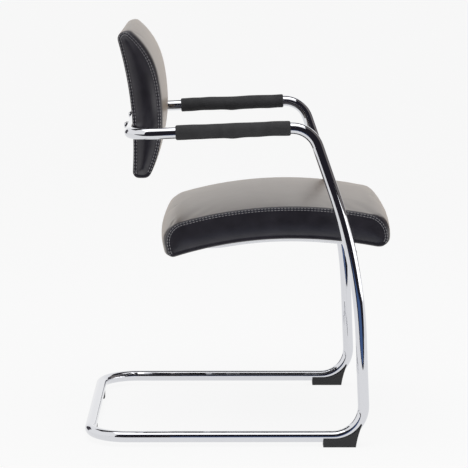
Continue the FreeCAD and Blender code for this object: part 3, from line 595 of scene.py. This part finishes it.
def stretched_grid(pad, line, columns, rows):
    """A grid stretched to an outline: (vert, place, depth, edge distance or None)."""
    corners = [line.nearest(Vector(d).normalized()) for d in ((-1, -1), (1, -1), (1, 1), (-1, 1))]
    chin, heel, tail, nose = corners
    low_front, low_rear, high_rear, high_front = (line.at(corner)[0] for corner in corners)

    def ahead(start, end, share):
        return (start + ((end - start) % line.length) * share) % line.length

    bmesh.ops.create_grid(pad, x_segments=len(columns) - 1, y_segments=len(rows) - 1, size=1.0)
    finder = kdtree.KDTree(len(line.points))
    for i, (place, _) in enumerate(line.points):
        finder.insert((0.0, place.x, place.y), i)
    finder.balance()
    stretched = []
    for vert in pad.verts:
        i = round((vert.co.x + 1) / 2 * (len(columns) - 1))
        k = round((vert.co.y + 1) / 2 * (len(rows) - 1))
        a, b = columns[i], rows[k]
        edges = (ahead(chin, heel, a), ahead(tail, nose, 1 - a),
                 ahead(nose, chin, 1 - b), ahead(heel, tail, b))
        bottom, top, front, rear = (line.at(edge)[0] for edge in edges)
        place = bottom * (1 - b) + top * b + front * (1 - a) + rear * a
        place -= low_front * (1 - a) * (1 - b) + low_rear * a * (1 - b)
        place -= high_front * (1 - a) * b + high_rear * a * b
        on_edge = (k == 0, k == len(rows) - 1, i == 0, i == len(columns) - 1)
        edge = edges[on_edge.index(True)] if any(on_edge) else None
        depth = 0.0 if any(on_edge) else finder.find((0.0, place.x, place.y))[2]
        stretched.append((vert, place, depth, edge))
    return stretched


def build_pad(line, seam_x, bulge, reach, lift, columns, rows, pitch_x, settle):
    """A pad in metres from its outline, its lift(x, outward) and a last settle(point)."""
    pad = bmesh.new()
    along = pad.verts.layers.float.new("along")
    held = pad.verts.layers.float.new("held")
    crease = pad.edges.layers.float.new("crease_edge")

    # The side panel
    for vert, place, depth, edge in stretched_grid(pad, line, columns, rows):
        if edge is None:
            vert.co = (-seam_x - puff(depth, bulge, reach), place.x, place.y)
            vert[held] = 1.0 if depth < WELT + 1 else 0.0
        else:
            vert[along] = edge
            vert.co = (-seam_x + SEAM_TUCK, place.x, place.y)
            vert[held] = 1.0

    # The long panel, out from the seam to the middle
    seam = [edge for edge in pad.edges if edge.is_boundary]
    last = 0.5 - pitch_x / seam_x / 8
    shares = [share for share in graded(2 * seam_x, pitch_x) if 0 < share < last]
    ring = seam
    for x in [seam_x * (1 - 2 * share) for share in shares] + [0.0]:
        made = bmesh.ops.extrude_edge_only(pad, edges=ring)["geom"]
        fresh = {item for item in made if isinstance(item, bmesh.types.BMVert)}
        ring = [item for item in made if isinstance(item, bmesh.types.BMEdge)
                and item.verts[0] in fresh and item.verts[1] in fresh]
        for vert in fresh:
            place, outward = line.at(vert[along])
            place = place + outward * lift(x, outward)
            vert.co = (-x, place.x, place.y)
            vert[held] = 1.0 if x > seam_x - 3.0 else 0.0
    for edge in seam:
        edge[crease] = 0.7
        for vert in edge.verts:
            place, outward = line.at(vert[along])
            vert.co.yz = place - outward * SEAM_SINK

    # The other half
    for vert in pad.verts:
        place, stays = settle(vert.co)
        vert.co = place
        vert[held] = max(vert[held], stays)
        if abs(vert.co.x) < 0.01:
            vert.co.x = 0.0
    bmesh.ops.mirror(pad, geom=pad.verts[:] + pad.edges[:] + pad.faces[:], axis="X",
                     merge_dist=0.01)
    bmesh.ops.recalc_face_normals(pad, faces=pad.faces[:])
    bmesh.ops.scale(pad, vec=(MM, MM, MM), verts=pad.verts[:])
    return pad


def rounded_inside(x, y, half_x, low_y, high_y, corner):
    """Distance inside a rounded rectangle, negative outside."""
    dx = abs(x) - (half_x - corner)
    dy = abs(y - (low_y + high_y) / 2) - ((high_y - low_y) / 2 - corner)
    if dx > 0 and dy > 0:
        return corner - math.hypot(dx, dy)
    return corner - max(dx, dy)


def ease(share):
    """A smooth step from 0 to 1."""
    share = min(max(share, 0.0), 1.0)
    return share * share * (3 - 2 * share)


def place_piece(name, pad, material, levels=1):
    """Turn a finished bmesh into a smooth piece of the chair."""
    mesh = bpy.data.meshes.new(name)
    for face in pad.faces:
        face.smooth = True
    pad.to_mesh(mesh)
    pad.free()
    piece = bpy.data.objects.new(name, mesh)
    scene.collection.objects.link(piece)
    mesh.materials.append(material)
    if levels:
        smooth = piece.modifiers.new("smooth", "SUBSURF")
        smooth.levels = levels
        smooth.render_levels = levels
    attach(piece, "root")
    return piece


print("seam cells:", SEAM_CELLS)

# %% [markdown]
# ## Stuffing
# Foam pushes leather out until the seams stop it. Blender's Cloth does that with
# a little pressure inside, gravity off and the seams held. The swell is capped,
# so the pad keeps its measured outline, and the result is baked into the mesh.

# %% Stuffing
SWELL_CAP = 0.0025  # metres
PRESSURE = 3.0
LAST_FRAME = 20


def stuff(piece):
    """Inflate a pad between its held seams, and keep each point within the cap."""
    mesh = piece.data
    rest = [vert.co.copy() for vert in mesh.vertices]
    group = piece.vertex_groups.new(name="seams")
    for vert, hold in zip(mesh.vertices, mesh.attributes["held"].data):
        if hold.value > 0:
            group.add([vert.index], hold.value, "REPLACE")
    subdivision = [(m.name, m.levels, m.render_levels) for m in piece.modifiers]
    piece.modifiers.clear()
    cloth = piece.modifiers.new("stuffing", "CLOTH")
    cloth.settings.vertex_group_mass = "seams"
    cloth.settings.use_pressure = True
    cloth.settings.uniform_pressure_force = PRESSURE
    cloth.settings.effector_weights.gravity = 0.0
    cloth.settings.tension_stiffness = 40.0
    cloth.settings.compression_stiffness = 40.0
    cloth.settings.shear_stiffness = 10.0
    cloth.settings.bending_stiffness = 2.0
    cloth.collision_settings.use_collision = False
    cloth.point_cache.frame_start = 1
    cloth.point_cache.frame_end = LAST_FRAME
    for step in range(1, LAST_FRAME + 1):
        scene.frame_set(step)
    graph = bpy.context.evaluated_depsgraph_get()
    swollen = [vert.co.copy() for vert in piece.evaluated_get(graph).data.vertices]
    piece.modifiers.clear()
    scene.frame_set(1)
    most = 0.0
    for vert, start, end in zip(mesh.vertices, rest, swollen):
        move = end - start
        if move.length > SWELL_CAP:
            move = move.normalized() * SWELL_CAP
        vert.co = start + move
        most = max(most, move.length)
    piece.vertex_groups.clear()
    for name, levels, render_levels in subdivision:
        smooth = piece.modifiers.new(name, "SUBSURF")
        smooth.levels = levels
        smooth.render_levels = render_levels
    return most


print("stuffing is simulated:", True)

# %% [markdown]
# ## Seat
# Leather over moulded foam on a bent board. The top panel is nearly flat across,
# rolls down at the side seams, and bows out at the front and more at the rear.
# Under the seat the leather folds over the edge of the board, and the fleece
# sheet covers its ends.

# %% Seat
SEAT_SEAM_X = 215.0
FLEECE_BED = (198.0, -260.7, 114.3, 38.0)  # half width, front, rear, corner radius
FOLD = 6.25  # how far the leather turns in under the board
FOLD_REACH = 12


def seat_lift(x, outward):
    """Rise of the seat's long panel: little on top, more at the front and the rear."""
    up, front, rear = max(outward.y, 0.0), max(-outward.x, 0.0), max(outward.x, 0.0)
    under = max(-outward.y, 0.0)
    top_rise = 5.8 * up ** 2 * roll_off(x, SEAT_SEAM_X, 0.80, 3.5)
    front_bow = 8.0 * front ** 2 * roll_off(x, SEAT_SEAM_X, 0.5, 5.0)
    rear_bow = 13.0 * rear ** 2 * roll_off(x, SEAT_SEAM_X, 0.5, 7.0)
    shoulder = 7.5 * (2 * front * up) ** 2 * roll_off(x, SEAT_SEAM_X, 0.5, 5.0)
    return (top_rise + front_bow + rear_bow + shoulder) * (1 - under ** 3)


def seat_underside(y):
    """Height of the seat's bottom edge along the chair."""
    curve = SEAT_FRONT_CURVE if y < SEAT_APEX_Y else SEAT_REAR_CURVE
    away = min(abs(y - SEAT_APEX_Y), 500)
    return SEAT_LIP_Z - curve + math.sqrt(curve ** 2 - away ** 2)


def seat_settle(point):
    """Fold the leather under the board, leave room for the fleece, and hold it there."""
    x, y, z = point
    low = seat_underside(y)
    inside = rounded_inside(x, y, *FLEECE_BED)
    if z < low + 3 and abs(x) < SEAT_SEAM_X - 2:
        return Vector((x, y, z + FOLD * ease((inside + FOLD_REACH) / FOLD_REACH))), 1.0
    return Vector((x, y, z)), 0.0


seat_pad = build_pad(seat_line, SEAT_SEAM_X, 3.5, 30.0, seat_lift,
                     graded(410.0, 6.5), graded(62.0, 5.0), 7.5, seat_settle)
seat_piece = place_piece("seat_upholstery", seat_pad, leather)
swell = stuff(seat_piece)
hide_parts("seat_cushion")
print("seat faces:", len(seat_piece.data.polygons), "largest swell in mm:", round(swell / MM, 2))

# %% [markdown]
# ## Back
# The back is made the same way, only taller than it is deep. Its rear face has
# a shallow well for the rear panel, and a channel where the back tube crosses.

# %% Back
BACK_SEAM_X = 185.0
TUBE_Y = 206.8
TUBE_Z = 605.503
TUBE_RADIUS = 11.0
CHANNEL_FRONT_Y = 178
WELL = (171.0, 534.0, 775.0, 43.0)  # half width, bottom, top, corner radius
WELL_DEPTH = 11.0


def back_lift(x, outward):
    """Rise of the back's long panel: fullest where the front turns to the top."""
    brow = max(0.0, outward.dot(Vector((-0.75, 0.66))))
    return 9.8 * brow ** 3 * roll_off(x, BACK_SEAM_X, 0.45, 5.0)


def clear_of_tube(y, z, gap):
    """Press a place at the rear of the back into the channel of the tube."""
    reach = TUBE_RADIUS + gap
    away = abs(z - TUBE_Z)
    if away < reach and y > CHANNEL_FRONT_Y:
        return min(y, TUBE_Y - math.sqrt(reach ** 2 - away ** 2))
    return y


def back_rear_face(z):
    """Y of the rear face of the back along its height."""
    centre_y, centre_z, curve = BACK_REAR_ARC
    return centre_y - math.sqrt(curve ** 2 - (z - centre_z) ** 2)


def back_settle(point):
    """Sink the well of the rear panel, clear the tube, and hold both."""
    x, y, z = point
    inside = rounded_inside(x, z, *WELL)
    face = back_rear_face(min(max(z, 500.0), 800.0))
    at_rear = y > face - 4 and 520 < z < 785
    if at_rear and inside > -3:
        y = y - WELL_DEPTH * ease((inside + 3) / 5)
    in_channel = abs(z - TUBE_Z) < TUBE_RADIUS + 5 and y > CHANNEL_FRONT_Y
    stays = 1.0 if at_rear or in_channel else 0.0
    return Vector((x, clear_of_tube(y, z, 0.5), z)), stays


back_pad = build_pad(back_line, BACK_SEAM_X, 10.0, 22.0, back_lift, graded(50.0, 4.5),
                     graded(262.0, 4.5, dense=[(72.0, 104.0)]), 5.0, back_settle)
back_piece = place_piece("back_upholstery", back_pad, leather)
swell = stuff(back_piece)
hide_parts("back_cushion")
print("back faces:", len(back_piece.data.polygons), "largest swell in mm:", round(swell / MM, 2))

# %% [markdown]
# ## Rear panel of the back
# A thin upholstered board closes the back from behind. It is cut as a rounded
# rectangle with slightly bowed sides, lies in the well, and is pressed in where
# the back tube crosses it. A grid stretched to that outline makes its outer
# face, and extruding the whole face forward gives it its thickness.

# %% Rear panel of the back
PANEL_THICK = 9.5
PANEL_ROLL = 5.0


def bowed_rectangle(half_x, low_z, high_z, corner, bow):
    """A chain of circles for a rounded rectangle whose sides are long arcs."""
    middle = (low_z + high_z) / 2
    reach = bow - corner
    x, z = half_x - corner, high_z - corner
    # Each corner's two distances depend on each other, and six rounds settle them
    for _ in range(6):
        z = high_z - bow + math.sqrt(reach ** 2 - x ** 2)
        x = half_x - bow + math.sqrt(reach ** 2 - (z - middle) ** 2)
    low = 2 * middle - z
    return [
        (-x, low, corner), (0, low_z + bow, bow), (x, low, corner),
        (half_x - bow, middle, bow), (x, z, corner), (0, high_z - bow, bow),
        (-x, z, corner), (bow - half_x, middle, bow),
    ]


panel_line = Outline(bowed_rectangle(170.2, 534.6, 774.4, 42.5, 2600.0))
panel = bmesh.new()
panel_rows = graded(155.0, 5.0, dense=[(28.0, 62.0)])
for vert, place, depth, _ in stretched_grid(panel, panel_line, graded(255.0, 6.0), panel_rows):
    flat_share = min(depth, PANEL_ROLL) / PANEL_ROLL
    rolled = PANEL_ROLL * (1 - math.sqrt(max(0.0, 1 - (1 - flat_share) ** 2)))
    y = back_rear_face(place.y) - 0.2 - rolled
    vert.co = (place.x, clear_of_tube(y, place.y, 0.6), place.y)
thick = bmesh.ops.extrude_face_region(panel, geom=panel.faces[:])
for item in thick["geom"]:
    if isinstance(item, bmesh.types.BMVert):
        item.co.y = back_rear_face(item.co.z) - PANEL_THICK
bmesh.ops.recalc_face_normals(panel, faces=panel.faces[:])
bmesh.ops.scale(panel, vec=(MM, MM, MM), verts=panel.verts[:])
panel_piece = place_piece("back_panel_leather", panel, leather)
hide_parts("back_rear_panel")
print("rear panel faces:", len(panel_piece.data.polygons))

# %% [markdown]
# ## Stitches
# Each seam is turned in and sewn down with two rows of thread on the side panel.
# A stitch is a short sunken bead of thread, so each one is a small ball drawn
# long, laid on the leather where a ray from the side meets it.

# %% Stitches
STITCH_PITCH = 6.4
STITCH_ROWS = (2.6, 6.4)  # distances inside the seam
STITCH_SIZE = (0.62, 0.42, 2.3)  # half width, half height and half length


def sew(name, piece, line, seam_x, lowest):
    """Two rows of stitches on both sides of a pad, but none that face below the lowest."""
    skin = bvhtree.BVHTree.FromObject(piece, bpy.context.evaluated_depsgraph_get())
    rows = bmesh.new()
    count = round(line.length / STITCH_PITCH)
    for inset in STITCH_ROWS:
        for k in range(count):
            place, outward = line.at((k + 0.5) * line.length / count)
            if outward.y < lowest:
                continue
            inner = place - outward * inset
            start = Vector((-seam_x - 60, inner.x, inner.y)) * MM
            spot, normal, _, _ = skin.ray_cast(start, Vector((1, 0, 0)))
            if spot is None:
                continue
            ahead = Vector((0, -outward.y, outward.x))
            ahead = (ahead - normal * ahead.dot(normal)).normalized()
            across = normal.cross(ahead)
            turn = Matrix((across, normal, ahead)).transposed()
            lay = Matrix.LocRotScale(spot + normal * 0.1 * MM, turn, Vector(STITCH_SIZE) * MM)
            bmesh.ops.create_uvsphere(rows, u_segments=6, v_segments=4, radius=1.0, matrix=lay)
    bmesh.ops.mirror(rows, geom=rows.verts[:] + rows.edges[:] + rows.faces[:], axis="X",
                     merge_dist=0.0)
    bmesh.ops.recalc_face_normals(rows, faces=rows.faces[:])
    sewn = place_piece(name, rows, thread, levels=0)
    return sewn


seat_stitches = sew("seat_stitches", seat_piece, seat_line, SEAT_SEAM_X, -0.75)
back_stitches = sew("back_stitches", back_piece, back_line, BACK_SEAM_X, -0.6)
print("stitch faces:", len(seat_stitches.data.polygons) + len(back_stitches.data.polygons))

# %% [markdown]
# ## Armpads
# A sleeve of skinned foam is pushed over each arm rail. Its wall is a closed
# section spun round the rail, with rounded rims at both ends. Foam never sits
# quite straight, so its outside waves a little, and it swells below the middle
# where the two halves of the mould met.

# %% Armpads
PAD_RADIUS = 14.3
PAD_BORE = 11.1
PAD_RIM = 3.0
PAD_WAVE = 0.9  # height of the waves
PAD_SWELL = 1.3  # height of the swelling below the middle
armpad_low, armpad_high = [[c / MM for c in corner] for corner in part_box("right_armpad")]
pad_run = armpad_high[1] - armpad_low[1]
pad_slope = math.asin(((armpad_high[2] - armpad_low[2]) - 2 * PAD_RADIUS) / pad_run)
pad_length = (pad_run - 2 * PAD_RADIUS * math.sin(pad_slope)) / math.cos(pad_slope)
pad_centre = Vector((0, (armpad_low[1] + armpad_high[1]) / 2,
                     (armpad_low[2] + armpad_high[2]) / 2))


def armpad(name, side, seed):
    """One foam sleeve, built along Y at the origin and then laid on its rail."""
    sleeve = bmesh.new()
    half = pad_length / 2
    section = [(-half, PAD_BORE), (-half, PAD_RADIUS - PAD_RIM)]
    section += [(-half + PAD_RIM - PAD_RIM * math.cos(a),
                 PAD_RADIUS - PAD_RIM + PAD_RIM * math.sin(a))
                for a in (math.pi / 8, math.pi / 4, math.pi * 3 / 8, math.pi / 2)]
    section += [(-half + 9 + (pad_length - 18) * k / 34, PAD_RADIUS) for k in range(18)]
    section += [(-y, radius) for y, radius in reversed(section[:-1])]
    ring = [sleeve.verts.new((0, y, radius)) for y, radius in section]
    edges = [sleeve.edges.new(pair) for pair in zip(ring, ring[1:] + ring[:1])]
    bmesh.ops.spin(sleeve, geom=ring + edges, cent=(0, 0, 0), axis=(0, 1, 0),
                   dvec=(0, 0, 0), angle=2 * math.pi, steps=40, use_merge=True,
                   use_duplicate=False)
    bmesh.ops.remove_doubles(sleeve, verts=sleeve.verts[:], dist=0.01)
    for vert in sleeve.verts:
        x, y, z = vert.co
        radius = math.hypot(x, z)
        if radius < PAD_BORE + 0.5:
            continue
        below = max(0.0, -z / radius)
        wave = noise.noise(Vector((x / 30 + seed, y / 26, z / 30)))
        swell = PAD_SWELL * below ** 3 * math.exp(-((y - 1.0) / 11) ** 2)
        sag = -0.25 * below * (1 - math.cos(y / 17.0))
        gain = 1 + (PAD_WAVE * wave + swell + sag) / radius
        vert.co.x, vert.co.z = x * gain, z * gain
    bmesh.ops.recalc_face_normals(sleeve, faces=sleeve.faces[:])
    lean = Matrix.Rotation(-pad_slope, 3, "X")
    bmesh.ops.rotate(sleeve, cent=(0, 0, 0), matrix=lean, verts=sleeve.verts[:])
    inner_x = min(abs(armpad_high[0]), abs(armpad_low[0]))
    middle = side * (armpad_high[0] - armpad_low[0] + 2 * inner_x) / 2
    bmesh.ops.translate(sleeve, vec=pad_centre + Vector((middle, 0, 0)), verts=sleeve.verts[:])
    bmesh.ops.scale(sleeve, vec=(MM, MM, MM), verts=sleeve.verts[:])
    piece = place_piece(name, sleeve, foam)
    return piece


right_armpad = armpad("right_armpad_foam", -1, 3.0)
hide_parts("right_armpad")
left_armpad = armpad("left_armpad_foam", 1, 8.0)
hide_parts("left_armpad")
print("armpad slope in degrees:", round(math.degrees(pad_slope), 2),
      "length in mm:", round(pad_length, 1))

# %% [markdown]
# ## Weld beads
# The cross tube is notched round the uprights and welded to them. The bead is a
# small round section spun round the cross tube and pushed along X until it lies
# in the corner between the two tubes; plating covers it like the rest.

# %% Weld beads
UPRIGHT_X = 265.0
UPRIGHT_RADIUS = 11.0
UPRIGHT_LEAN = Vector((0.0, 0.22, 0.975)).normalized()
BEAD = 1.5
cross_low, cross_high = [[c / MM for c in corner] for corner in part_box("seat_cross_tube")]
cross_radius = (cross_high[2] - cross_low[2]) / 2
cross_centre = Vector((0, (cross_low[1] + cross_high[1]) / 2,
                       (cross_low[2] + cross_high[2]) / 2))
beads = bmesh.new()
bmesh.ops.create_circle(beads, cap_ends=False, segments=8, radius=BEAD)
bmesh.ops.translate(beads, vec=(0, cross_radius + 0.3, 0), verts=beads.verts[:])
bmesh.ops.spin(beads, geom=beads.verts[:] + beads.edges[:], cent=(0, 0, 0), axis=(1, 0, 0),
               dvec=(0, 0, 0), angle=2 * math.pi, steps=48, use_merge=True,
               use_duplicate=False)
bmesh.ops.remove_doubles(beads, verts=beads.verts[:], dist=0.01)
for vert in beads.verts:
    around = Vector((0, vert.co.y, vert.co.z))
    offset = min(around.cross(UPRIGHT_LEAN).length, UPRIGHT_RADIUS - 0.1)
    ripple = 0.25 * math.sin(14 * math.atan2(vert.co.z, vert.co.y))
    to_corner = -UPRIGHT_X + math.sqrt(UPRIGHT_RADIUS ** 2 - offset ** 2) + 0.6
    vert.co.x += to_corner + ripple
bmesh.ops.translate(beads, vec=cross_centre, verts=beads.verts[:])
bmesh.ops.mirror(beads, geom=beads.verts[:] + beads.edges[:] + beads.faces[:], axis="X",
                 merge_dist=0.0)
bmesh.ops.recalc_face_normals(beads, faces=beads.faces[:])
bmesh.ops.scale(beads, vec=(MM, MM, MM), verts=beads.verts[:])
weld_piece = place_piece("cross_tube_welds", beads, chrome, levels=0)
print("weld faces:", len(weld_piece.data.polygons))
